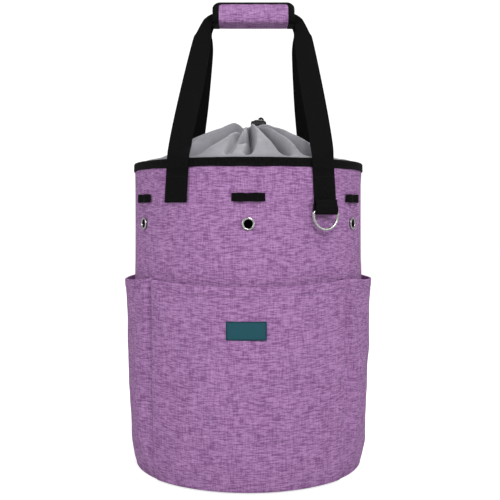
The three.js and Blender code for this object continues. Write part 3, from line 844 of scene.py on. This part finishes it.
def pocket(name, middle, half_angle, radius_of, seed, drags):
    """A panel sewn down at both sides and the base, with a turned hem at its mouth."""

    def surface(u, v):
        across = 2 * u - 1
        across = across * (1 + 0.10 * (1 - across**2) * across**2)
        top = pocket_top(across)
        z = POCKET_BOTTOM + v * (top - POCKET_BOTTOM)
        side = arc(across * half_angle)
        radius = radius_of(across, z)
        free = flat_top(across, 10) * smooth(z, 4, 30)
        radius = radius + free * ripple(side, z, seed) * (1 - 0.5 * smooth(z, 190, 214))
        for x, height, lean, reach, depth in drags:
            line = (side - x) * math.cos(lean) + (z - height) * math.sin(lean)
            along = -(side - x) * math.sin(lean) + (z - height) * math.cos(lean)
            radius = radius + free * depth * hump(line, 7) * hump(along, reach)
        radius = radius - 0.45 * hump(z - (top - HEM), 1.1) * free
        return polar(middle + across * (half_angle - 0.15), radius, z)

    def thickness(u, v):
        top = pocket_top(2 * u - 1)
        z = POCKET_BOTTOM + v * (top - POCKET_BOTTOM)
        return POCKET_T + 0.7 * smooth(z, top - HEM - 0.4, top - HEM + 0.8)

    size = (2 * arc(half_angle), POCKET_TOP - POCKET_BOTTOM)
    made = sheet(f"{name}_pocket_panel", surface, 150, 150, size, thickness)
    piece(made, "heather", stands_for=[f"{name}_pocket"])
    pocket_surfaces[name] = surface


# Soft drag lines: [along the panel, height, lean, reach, depth] in millimetres and radians.
FRONT_DRAGS = [
    [62, 128, 1.0, 42, 1.1], [80, 100, 0.8, 30, -0.9], [-78, 150, -1.2, 34, 0.9], [-60, 70, -0.5, 40, 0.7],
    [30, 60, 1.3, 50, 0.6], [-20, 110, -1.4, 45, 0.5], [92, 40, 0.3, 24, -0.8], [-96, 44, -0.2, 26, -0.7],
]
BACK_DRAGS = [[-x, z, -lean, reach, 0.8 * depth] for x, z, lean, reach, depth in FRONT_DRAGS]
SIDE_DRAGS = [
    [-70, 60, 0.25, 50, -0.9], [72, 66, -0.25, 48, -0.8], [10, 120, 1.2, 40, 0.7], [-30, 30, 0.9, 30, 0.6],
]


def pockets():
    for panel in (
        ("front", 0, SEAM_ANGLE, front_radius, 0.0, FRONT_DRAGS),
        ("right", 90, SIDE_HALF, side_radius, 1.7, SIDE_DRAGS),
        ("back", 180, SEAM_ANGLE, front_radius, 3.1, BACK_DRAGS),
        ("left", 270, SIDE_HALF, side_radius, 4.6, SIDE_DRAGS),
    ):
        pocket(*panel)
    runs = []
    height = 1 - (HEM - 0.6) / (POCKET_TOP - POCKET_BOTTOM)
    for surface in pocket_surfaces.values():
        line = surface(np.linspace(0.02, 0.98, 200), np.full(200, height))
        outward = outward_of(line)
        runs.append(stitch_run(line + outward * 0.95, outward, 3.2, 0.66, 0.24))
    stitches("pocket_hem_stitches", runs, "thread")


def label():
    centre = middle_of("label_patch")
    width, height = LABEL_SIZE
    inset = 1.3

    def surface(u, v):
        x = centre[0] + (u - 0.5) * width
        z = centre[2] + (v - 0.5) * height
        up = (z - POCKET_BOTTOM) / (pocket_top(0) - POCKET_BOTTOM)
        panel = pocket_surfaces["front"](np.full(u.shape, 0.5), up)
        radius = -panel[..., 1] + POCKET_T / 2 + 0.55
        puff = 0.35 * flat_top(2 * u - 1, 6) * flat_top(2 * v - 1, 4)
        return polar(np.degrees(x / radius), radius + puff, z)

    piece(sheet("label", surface, 60, 30, LABEL_SIZE, 0.8), "label", stands_for=["label_patch"])
    runs = []
    for start, end in rectangle((inset / width, inset / height), (1 - inset / width, 1 - inset / height)):
        line = segment(surface, start, end, 60) + FRONT * 0.42
        runs.append(stitch_run(line, np.tile(FRONT, (60, 1)), 1.9, 0.66, 0.16))
    stitches("label_stitches", runs)


# ---- Eyelets and tool loops ----------------------------------------------------------------------


def about_eyelet(i):
    """The frame of an eyelet: Z points out of the wall."""
    turn = Matrix.Rotation(math.radians(AROUND_STEP * i), 4, "Z")
    out = Matrix.Rotation(math.radians(90), 4, "X")
    return turn @ Matrix.Translation((0, -WALL_R, EYELET_Z)) @ out


def eyelets():
    """A rolled metal eyelet: a domed flange outside, a barrel through the wall and a flared collar inside."""
    flange, hole, back = 6.75, 4.5, -8.2
    bend = np.linspace(0, np.pi / 2, 7)
    dome = [[hole + 1.15 * (1 - math.cos(a)), 0.25 + 1.0 * math.sin(a)] for a in bend]
    bend = np.linspace(0.3, np.pi / 2, 5)
    outer = [[flange - 0.9 + 0.9 * math.sin(a), 0.35 + 0.75 * math.cos(a)] for a in bend]
    behind = [[flange, 0.2], [EYELET_BARREL + 0.1, 0.2], [EYELET_BARREL, -0.4], [EYELET_BARREL, back + 1],
              [flange, back + 0.9], [flange + 0.1, back + 0.4], [flange - 0.5, back], [hole + 0.6, back],
              [hole, back + 0.5]]
    shape = (dome + outer + behind)[::-1]
    for i, place in enumerate(AROUND):
        made = spun(f"yarn_eyelet_{place}", shape, 48, place=about_eyelet(i))
        piece(made, "nickel", stands_for=[f"eyelet_{place}", f"eyelet_washer_{place}"])


def tool_loops():
    """Elastic tape sewn down at both ends and in the middle, so that it makes two loops."""
    low, high = corners("tool_loop_front")
    height = high[2] - low[2]
    centre = (low[2] + high[2]) / 2
    length = 34.3
    for i, place in enumerate(AROUND):
        round_bag = AROUND_STEP * i
        outward = turned(FRONT, round_bag)

        def surface(u, v):
            rise = 2.2 * np.sin(2 * np.pi * u) ** 2
            turn = np.degrees((u - 0.5) * length / WALL_R)
            pinch = 1 - 0.05 * np.cos(4 * np.pi * u)
            flat = polar(turn, WALL_R + 0.75 + rise, centre + (v - 0.5) * height * pinch)
            return turned(flat, round_bag)

        made = sheet(f"tool_loop_tape_{place}", surface, 64, 10, (length, height), 0.9)
        runs = []
        for u in (0.035, 0.49, 0.51, 0.965):
            line = segment(surface, (u, 0.06), (u, 0.94), 24) + outward * 0.5
            runs.append(stitch_run(line, np.tile(outward, (24, 1)), 1.6, 0.75, 0.22))
        stitches(f"tool_loop_stitches_{place}", runs)
        piece(made, "ribbon", stands_for=[f"tool_loop_{place}"])


# ---- Handles -------------------------------------------------------------------------------------
# Half outlines of the webbing as [distance from its middle, height], from the sewn end to the grip.
OUTER_EDGE = [[90.0, 294], [88.6, 317], [87.1, 338], [84.6, 368], [78.1, 417.6], [68.7, 477.6], [64.6, 489.6],
              [57.6, 506.0], [52.5, 512.6], [46.0, 516.4], [36, 519.0], [18, 521.2], [0, 521.8]]
INNER_EDGE = [[65.6, 294], [64.5, 317], [63.1, 338], [60.4, 368], [53.3, 417.6], [47.8, 470], [47.6, 486],
              [48.8, 495.0], [46.6, 501.4], [41.5, 504.6], [32, 506.0], [16, 506.4], [0, 506.4]]
HANDLE_FOOT_Y = 109.5
RIDGE_Y, RIDGE_Z = 2.6, 522.0
slope_run = (HANDLE_FOOT_Y - RIDGE_Y) / (RIDGE_Z - RIM_TOP)
WEB_WIDTH, WEB_T = 25.0, 1.6


def handle_lean(z):
    return 2.3 + 3.7 * np.clip((z - RIM_TOP) / (RIDGE_Z - RIM_TOP), 0, 1)


def handle_surface(side):
    """The front webbing for side 1, the back one for side -1. u runs across the tape, v from end to end."""

    def whole(edge):
        half = curve_through(edge, 241)
        return np.vstack([half * [-1, 1], half[::-1][1:]])

    tape = between(whole(OUTER_EDGE), whole(INNER_EDGE))

    def surface(u, v):
        from_middle, z = tape(u, v)
        x = from_middle + handle_lean(z)
        over_rim = WALL_R + 0.3 + WEB_T / 2 + 1.35 * smooth(z, RIM_LOW - 5, RIM_LOW + 1)
        on_wall = -np.sqrt(np.maximum(over_rim**2 - x**2, 0))
        in_plane = (z - RIM_TOP) * slope_run - HANDLE_FOOT_Y
        planar = smooth(z, RIM_TOP - 1, RIM_TOP + 15)
        y = on_wall * (1 - planar) + in_plane * planar
        out = np.abs(from_middle)
        past_fold = (z - 498.2) * 0.743 - (out - 46.2) * 0.669
        turned_back = smooth(past_fold, 0.0, 1.6) * (1 + 0.16 * np.clip(past_fold, 0, 9))
        y = y + 1.5 * turned_back * smooth(z, 492, 498)
        loose = smooth(z, RIM_TOP + 10, RIM_TOP + 60) * (1 - smooth(z, 470, 490))
        y = y + loose * (0.8 * np.sin(z / 21 + 0.5 * np.sign(from_middle)) * (u - 0.5) + 0.5 * np.sin(z / 34))
        return np.stack([x, side * y, z], -1)

    return surface


def handles():
    runs = {}
    for side, name in ((1, "front"), (-1, "back")):
        body = f"{name}_handle"
        nodes = [f"{body}_strap", f"strap_end_{name}_right", f"strap_end_{name}_left"]
        surface = handle_surface(side)
        length = length_of(surface(np.full(800, 0.5), np.linspace(0, 1, 800)))
        made = sheet(f"{body}_webbing", surface, 22, 620, (WEB_WIDTH, length), WEB_T, flip=(side == 1))
        piece(made, "webbing", body=None, stands_for=nodes)
        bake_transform(made)
        low, high = (0.1, 2.5 / length), (0.9, 30 / length)
        box = rectangle(low, high) + [(low, high), ((high[0], low[1]), (low[0], high[1]))]
        runs[name] = []
        for end in (0, 1):
            def sewn_end(u, v):
                return surface(u, 1 - v if end else v)

            for start, stop in box:
                line = segment(sewn_end, start, stop, 40)
                outward = outward_of(line)
                runs[name].append(stitch_run(line + outward * (WEB_T / 2 + 0.02), outward, 2.8, 0.68, 0.24))
    for name, rows in runs.items():
        stitches(f"{name}_handle_stitches", rows)


# ---- Grip ----------------------------------------------------------------------------------------
# Cross sections of the wrap and of its flap as [y, z]. Together they go once round both webbings.
WRAP_SECTION = [[-4.0, 502.0], [3, 501.8], [10, 502.4], [15.5, 505], [16.8, 510.5], [13.2, 517.2],
                [8.6, 521.4], [4, 523.9], [-1.5, 524.0], [-7, 523.9]]
FLAP_SECTION = [[-2.0, 501.9], [-10, 502.2], [-15.8, 502.7], [-18.0, 505.2], [-18.3, 510.5], [-15.6, 516.5],
                [-12.4, 521.5], [-9.0, 525.6], [-5.0, 527.2], [-0.5, 527.4]]
CORNER = 8.0
BINDING = 7.4


def grip_surface(section):
    """Maps x from the grip's middle and a share p of the cross section to a point."""
    line = curve_through(section, 200)
    trace = tracer(line)

    def point(x, p):
        y, z = trace(p)
        beyond = np.clip((np.abs(x) - (GRIP_HALF - CORNER)) / CORNER, 0, 1)
        drop = CORNER * (1 - np.sqrt(1 - 0.96 * beyond**2))
        z = z - drop * smooth(z, 508, 526)
        return np.stack([x + GRIP_X, y, z], -1)

    return point, length_of(line)


def grip_panel(name, section, inset, thickness, crown):
    point, length = grip_surface(section)
    half = GRIP_HALF - inset

    def surface(u, v):
        return point((2 * u - 1) * half, v)

    def pad(u, v):
        return thickness + crown * flat_top(2 * u - 1, 8) * flat_top(2 * v - 1, 10)

    return sheet(name, surface, 120, 90, (2 * half, length), pad)


def corner_path(half, top, radius):
    """Up one end of the flap, round the corner, along its free edge and down again, as [x, length]."""
    turn = np.linspace(0, np.pi / 2, 12)
    bend = [[-half + radius * (1 - math.cos(a)), top - radius + radius * math.sin(a)] for a in turn]
    half_path = [[-half, s] for s in np.linspace(0, top - radius, 60)[:-1]] + bend
    across = [[x, top] for x in np.linspace(-half + radius, half - radius, 70)[1:-1]]
    return np.array(half_path + across + [[-x, s] for x, s in half_path[::-1]])


def grip():
    wrap = grip_panel("grip_wrap_cloth", WRAP_SECTION, 1.0, 1.5, 0.7)
    piece(wrap, "heather", "back_handle", ["grip_wrap"])
    point, length = grip_surface(WRAP_SECTION)
    bands = []
    for side in (1, -1):
        def end_band(u, v):
            return point(side * (GRIP_HALF - BINDING + (BINDING + 0.4) * v), u)

        bands.append(sheet(f"wrap_band_{side}", end_band, 80, 12, (length, BINDING), 2.7, flip=(side == 1)))
    piece(joined("grip_wrap_binding", bands), "ribbon", "back_handle")

    flap = grip_panel("grip_flap_cloth", FLAP_SECTION, 1.0, 1.5, 0.9)
    piece(flap, "heather", None, ["grip_flap"])
    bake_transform(flap)
    flap_point, flap_length = grip_surface(FLAP_SECTION)
    top_width = 12.5
    outer = corner_path(GRIP_HALF + 0.4, flap_length, 4.5)
    inner = corner_path(GRIP_HALF - BINDING, flap_length - top_width, 3.4)
    tape = between(outer, inner)

    def band(u, v):
        x, s = tape(u, v)
        return flap_point(x, s / flap_length)

    edge = sheet("grip_flap_binding", band, 12, 330, (BINDING, length_of(outer)), 2.9)
    piece(edge, "ribbon", None)
    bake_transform(edge)
    for kind, body, height in (("loop", "back_handle", 525.3), ("hook", "grip_flap", 525.85)):
        node = f"grip_{kind}_tape"
        low, high = corners(node)
        width, depth = high[0] - low[0], high[1] - low[1]

        def flat(u, v):
            return np.stack([low[0] + u * width, low[1] + v * depth, np.full(u.shape, height)], -1)

        made = sheet(f"{node}_strip", flat, 40, 6, (width, depth), 0.5)
        piece(made, "hook", body, [node])


# ---- D-rings -------------------------------------------------------------------------------------
# Each ring's angle round the bag, and the way it faces.
RING_PLACES = [("front", 35.5, 26.0), ("back", 215.5, 206.0)]
RING_RADIUS, RING_Z, RING_WIRE = 137.6, 284.5, 1.6
RING_HALF, RING_DEPTH = 14.4, 18.4


def ring_path():
    """A D: a straight bar along X with a bow below it."""
    corner = 2.2
    turn = np.linspace(0, np.pi, 40)
    side = RING_DEPTH - RING_HALF
    bow = [[-RING_HALF * math.cos(a), 0, -side - RING_HALF * math.sin(a)] for a in turn]
    bend = np.linspace(0, np.pi / 2, 6)
    right = [[RING_HALF - corner * (1 - math.cos(a)), 0, -corner + corner * math.sin(a)] for a in bend]
    left = [[-x, 0, z] for x, _, z in right[::-1]]
    return evenly(np.array(bow + right + left + bow[:1]), 121)[:-1]


def rings():
    for place, angle, faces in RING_PLACES:
        centre = polar(angle, RING_RADIUS, RING_Z)
        outward = turned(FRONT, faces)
        wire = turned(ring_path(), faces) + centre
        made = loft(f"d_ring_wire_{place}", rod_rings(wire, RING_WIRE, 16, closed=True), closed=True)
        piece(made, "nickel", f"{place}_d_ring", [f"d_ring_{place}"])
        bend = RING_WIRE + 0.9
        under = [[bend * math.cos(a), bend * math.sin(a)] for a in np.linspace(np.pi, 2 * np.pi, 9)]
        fold = [[-bend + 0.2, 12.5], [-bend, 5], *under, [bend, 5], [bend * 0.72, 9.5], [bend * 0.4, 12.5]]
        line = curve_through(fold, 80)
        trace = tracer(line)

        def surface(u, v):
            out, z = trace(u)
            flare = 27.0 - 1.6 * smooth(z, 2, 9)
            return turned(np.stack([(0.5 - v) * flare, -out, z], -1), faces) + centre

        tab = sheet(f"d_ring_tab_web_{place}", surface, 60, 30, (length_of(line), 26.0), 1.2)
        piece(tab, "webbing", "root", [f"d_ring_tab_{place}"])
        rows = []
        for u in (0.80, 0.95):
            row = segment(surface, (u, 0.05), (u, 0.95), 40) + outward * 0.62
            rows.append(stitch_run(row, np.tile(outward, (40, 1)), 2.6, 0.68, 0.24))
        stitches(f"d_ring_tab_stitches_{place}", rows)


# ---- Collar --------------------------------------------------------------------------------------
# Half profile of the collar as [radius, z], and its folds. A fold follows three angles, far from the neck,
# midway and near the neck, and has a depth (a valley is negative) and a width in millimetres.
COLLAR_PROFILE = [[122.9, 325], [122.6, 333], [122.0, 339.5], [117.5, 343.5], [104, 349.5], [84, 358.0],
                  [62, 367.5], [44, 375.5], [30, 381.2], [19, 384.6], [13.5, 384.0], [10.6, 381.0],
                  [10.0, 377.5]]
FRONT_FOLDS = [
    [20.5, 20.0, 18.0, -24.0, 4.2], [14.0, 13.0, 11.5, 3.0, 5.5], [26.5, 26.5, 26.5, 6.0, 4.5],
    [-0.5, 2.6, 2.2, -17.0, 3.0], [5.0, 7.2, 7.0, 2.6, 4.5], [-10.8, -12.0, -13.5, -8.0, 3.6],
    [-23.1, -19.6, -16.0, 4.0, 4.5], [-32.0, -28.0, -25.0, -24.0, 7.0], [34.0, 34.0, 35.0, -15.0, 6.5],
    [43.0, 43.0, 44.0, 4.5, 6.0], [-45.0, -43.0, -42.0, 4.0, 7.0],
]
rng = np.random.default_rng(11)
OTHER_FOLDS = []
for index, at_angle in enumerate(np.arange(58, 318, 13.0)):
    at_angle = at_angle + rng.uniform(-3, 3)
    swing = rng.uniform(-6, 6)
    valley = index % 2 == 0
    OTHER_FOLDS.append([at_angle + swing, at_angle, at_angle - swing / 2,
                        -rng.uniform(5, 9) if valley else rng.uniform(2, 4), rng.uniform(4, 8)])


def collar_rise(theta, radius):
    """How far the folds lift the collar at a place, in millimetres."""
    total = np.zeros(np.broadcast(theta, radius).shape)
    held = smooth(-radius, -121.5, -104) * smooth(radius, 9, 26)
    for far, mid, near, depth, width in FRONT_FOLDS + OTHER_FOLDS:
        line = steady(radius, [20, 75, 118], [near, mid, far])
        wide = width * (0.45 + 0.55 * np.clip(radius / 80, 0, 1.2))
        total = total + depth * hump(np.radians(wrapped(theta - line)) * radius, wide)
    from_pit = polar(theta, radius, 0) - polar(-1.9, 70, 0)
    x, y = from_pit[..., 0], from_pit[..., 1]
    total = total - 18.0 * hump(x - 0.35 * y, 6.0) * hump(y, 11.0)
    fuller = 3.5 * hump(wrapped(theta - 32), 30) * smooth(radius, 30, 60) * smooth(-radius, -115, -90)
    beside = np.abs(wrapped(theta))
    sagged = -7.0 * smooth(beside, 38, 62) * (1 - smooth(beside, 118, 145)) * smooth(radius, 60, 95)
    return (total + fuller + sagged) * held


def collar():
    line = curve_through(COLLAR_PROFILE, 160)
    trace = tracer(line)

    def surface(u, v):
        theta = 360 * u
        radius, z = trace(v)
        rise = collar_rise(theta, radius)
        pleat = 0.9 * np.sin(np.radians(theta) * 17 + 1) * smooth(-radius, -40, -16) * smooth(radius, 9, 15)
        return polar(theta, radius, z + rise + pleat)

    made = sheet("collar_cloth", surface, 540, 170, (2 * np.pi * 100, length_of(line)), 0.9, wrap=True)
    piece(made, "collar", None, ["collar"])
    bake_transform(made)


def neck_hem():
    """The gathered casing that the cord runs in."""
    s = full_turn(20)
    casing = []
    for a in full_turn(220):
        gather = 1 + 0.13 * math.sin(15 * a) + 0.05 * math.sin(31 * a + 1)
        r = 7.7 + 2.75 * gather * np.cos(s)
        z = NECK_Z + 3.1 * gather * np.sin(s)
        casing.append(np.stack([r * math.cos(a), r * math.sin(a), z], 1))
    made = loft("collar_gather", casing[::-1], closed=True)
    piece(made, "collar", "collar_neck", ["collar_hem"])


# ---- Cord and lock -------------------------------------------------------------------------------
LOCK_CENTRE = np.array([12.0, 26.0, 390.0])
CORD_WAY = np.array([0.12, 0.85, 0.5]) / np.linalg.norm([0.12, 0.85, 0.5])
lock_x = np.array([-1.0, 0, 0]) + CORD_WAY * CORD_WAY[0]
lock_x /= np.linalg.norm(lock_x)
lock_y = np.cross(CORD_WAY, lock_x)
CORD_R, CORD_SPACING = 1.25, 2.7


def in_lock(x, y, z):
    return LOCK_CENTRE + x * lock_x + y * lock_y + z * CORD_WAY


def drawcord():
    beside = np.array([-0.83, 0.56, 0]) * CORD_SPACING * 0.6
    above = np.array([0, 0, CORD_SPACING * 0.35])
    over_lip = [
        ([8.8, 14, 387.9], beside * 0.7 + above), ([6.5, 9.2, 386.3], beside), ([4.2, 5.6, 380.5], beside),
    ]
    tail = [[15.5, 41, 398.5], [19.5, 52, 391.5], [24, 66, 380], [28, 84, 370.5], [31, 100, 362]]

    def strand(side):
        points = [np.array([x + side * CORD_SPACING * 0.6, y, z]) for x, y, z in tail[::-1]]
        points += [in_lock(0, side * CORD_SPACING / 2, along) for along in (14, 7, 0, -6)]
        points += [np.array(centre) + side * offset for centre, offset in over_lip]
        return points

    turn = np.radians(92 + 36 * np.arange(9))
    loop = [np.array([6.7 * math.cos(a), 6.7 * math.sin(a), NECK_Z]) for a in turn]
    count = 520
    path = curve_through(strand(1) + loop + strand(-1)[::-1], count)
    ends = np.minimum(np.arange(count), np.arange(count)[::-1])
    radius = CORD_R * np.sqrt(np.clip(1 - (1 - np.clip((ends + 0.3) / 3, 0, 1)) ** 2, 0.05, 1))
    made = loft("drawcord_braid", rod_rings(path, radius, 12))
    piece(made, "cord", None, ["drawcord"])
    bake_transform(made)


def slot_cutter(name, far, radius):
    """A rounded bar along the cords, that cuts the slot they run through."""
    outline = rounded([[-3.0, -1.6], [3.0, -1.6], [3.0, far], [-3.0, far]], radius, 5)
    return loft(name, [[in_lock(b, a, along) for a, b in outline] for along in (-12, 12)])


def lock():
    place = Matrix.Identity(4)
    for column, way in enumerate((lock_y, CORD_WAY, lock_x, LOCK_CENTRE)):
        for row in range(3):
            place[row][column] = way[row]
    cavity = 4.6
    barrel = [[0.01, -9.5], [2.6, -9.5], [4.6, -8.4], [5.5, -6.0], [5.7, -3.2], [5.25, -2.7], [5.7, -2.2],
              [5.7, -0.9], [5.25, -0.4], [5.7, 0.1], [5.7, 3.4], [5.2, 4.7], [cavity, 5.0], [cavity, -8.0],
              [0.01, -8.0]]
    body = spun("lock_barrel", rounded(barrel, 0.5, 3), 56, place=place)
    punched(body, [slot_cutter("slot", 1.6, 1.5)])
    piece(body, "plastic", "cord_lock", ["lock_body"])
    plunger = [[0.01, -3.2], [4.25, -3.2], [4.3, 6.8], [3.7, 8.2], [2.2, 8.9], [0.01, 9.0]]
    button = spun("lock_press_button", rounded(plunger, 0.4, 4), 48, place=place)
    punched(button, [slot_cutter("wide_slot", 4.1, 1.4)])
    piece(button, "plastic", "cord_lock_button", ["lock_button"])
    turns, foot, height, coil_radius, wire = 3, -7.5, 3.9, 3, 0.2
    coil = []
    for share in np.linspace(0, 1, 140):
        a = 2 * np.pi * turns * share
        coil.append(in_lock(foot + height * share, coil_radius * math.cos(a), coil_radius * math.sin(a)))
    spring = loft("lock_coil_spring", rod_rings(coil, wire, 10))
    piece(spring, "steel", None, ["lock_spring"])
    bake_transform(spring)


# ---- Studio --------------------------------------------------------------------------------------


def studio():
    half, below = 6000, -0.6
    square = [[-half, -half, below], [half, -half, below], [half, half, below], [-half, half, below]]
    floor = mesh_object("floor", square, [[0, 1, 2, 3]], smooth_shading=False)
    pale = Look("pale_floor", roughness=0.95, specular=0.1, coordinates="object")
    pale.colour(pale.mix(pale.noise(60, 60, 2.0, 1.0, out=60), (0.55, 0.55, 0.555), (0.58, 0.58, 0.585)))
    pale.shader.inputs["Emission Color"].default_value = (1, 1, 1, 1)
    seen = pale.add("ShaderNodeLightPath").outputs["Is Camera Ray"]
    pale.put(pale.shader.inputs["Emission Strength"], pale.math("MULTIPLY", seen, 0.72))
    dress(floor, pale.material)
    world = bpy.data.worlds.new("studio")
    bpy.context.scene.world = world
    world.use_nodes = True
    nodes, links = world.node_tree.nodes, world.node_tree.links
    background = nodes["Background"]
    background.inputs["Color"].default_value = (1, 1, 1, 1)
    to_things, more_to_camera = 0.52, 0.6
    seen = nodes.new("ShaderNodeMath")
    seen.operation = "MULTIPLY_ADD"
    seen.inputs[1].default_value, seen.inputs[2].default_value = more_to_camera, to_things
    links.new(nodes.new("ShaderNodeLightPath").outputs["Is Camera Ray"], seen.inputs[0])
    links.new(seen.outputs[0], background.inputs["Strength"])

    def softbox(name, place, size, watts):
        light = bpy.data.lights.new(name, "AREA")
        light.shape = "RECTANGLE"
        light.size, light.size_y = size
        light.energy = watts
        lamp = bpy.data.objects.new(name, light)
        lamp.location = place
        lamp.rotation_euler = (Vector((0, 0, 0.25)) - Vector(place)).to_track_quat("-Z", "Y").to_euler()
        bpy.context.scene.collection.objects.link(lamp)

    softbox("key", (0.5, -2.0, 1.7), (0.9, 0.9), 31)
    softbox("left", (-1.9, -1.3, 1.0), (1.4, 1.4), 16)
    softbox("right", (1.9, -1.3, 1.0), (1.4, 1.4), 10)
    softbox("back", (0.3, 1.9, 1.8), (1.6, 1.2), 22)

    camera = bpy.data.cameras.new("camera")
    camera.lens = 58.5
    camera.sensor_width = 36
    camera.shift_x, camera.shift_y = 0.0034, -0.066
    eye = bpy.data.objects.new("camera", camera)
    eye.location = (0, -0.950, 0.279)
    eye.rotation_euler = (math.radians(90), 0, 0)
    bpy.context.scene.collection.objects.link(eye)
    bpy.context.scene.camera = eye
    bpy.context.scene.view_settings.view_transform = "Standard"
    bpy.context.scene.view_settings.look = "None"


drum()
base()
rim()
pockets()
label()
eyelets()
tool_loops()
handles()
grip()
rings()
collar()
neck_hem()
drawcord()
lock()
studio()

bpy.context.view_layer.update()
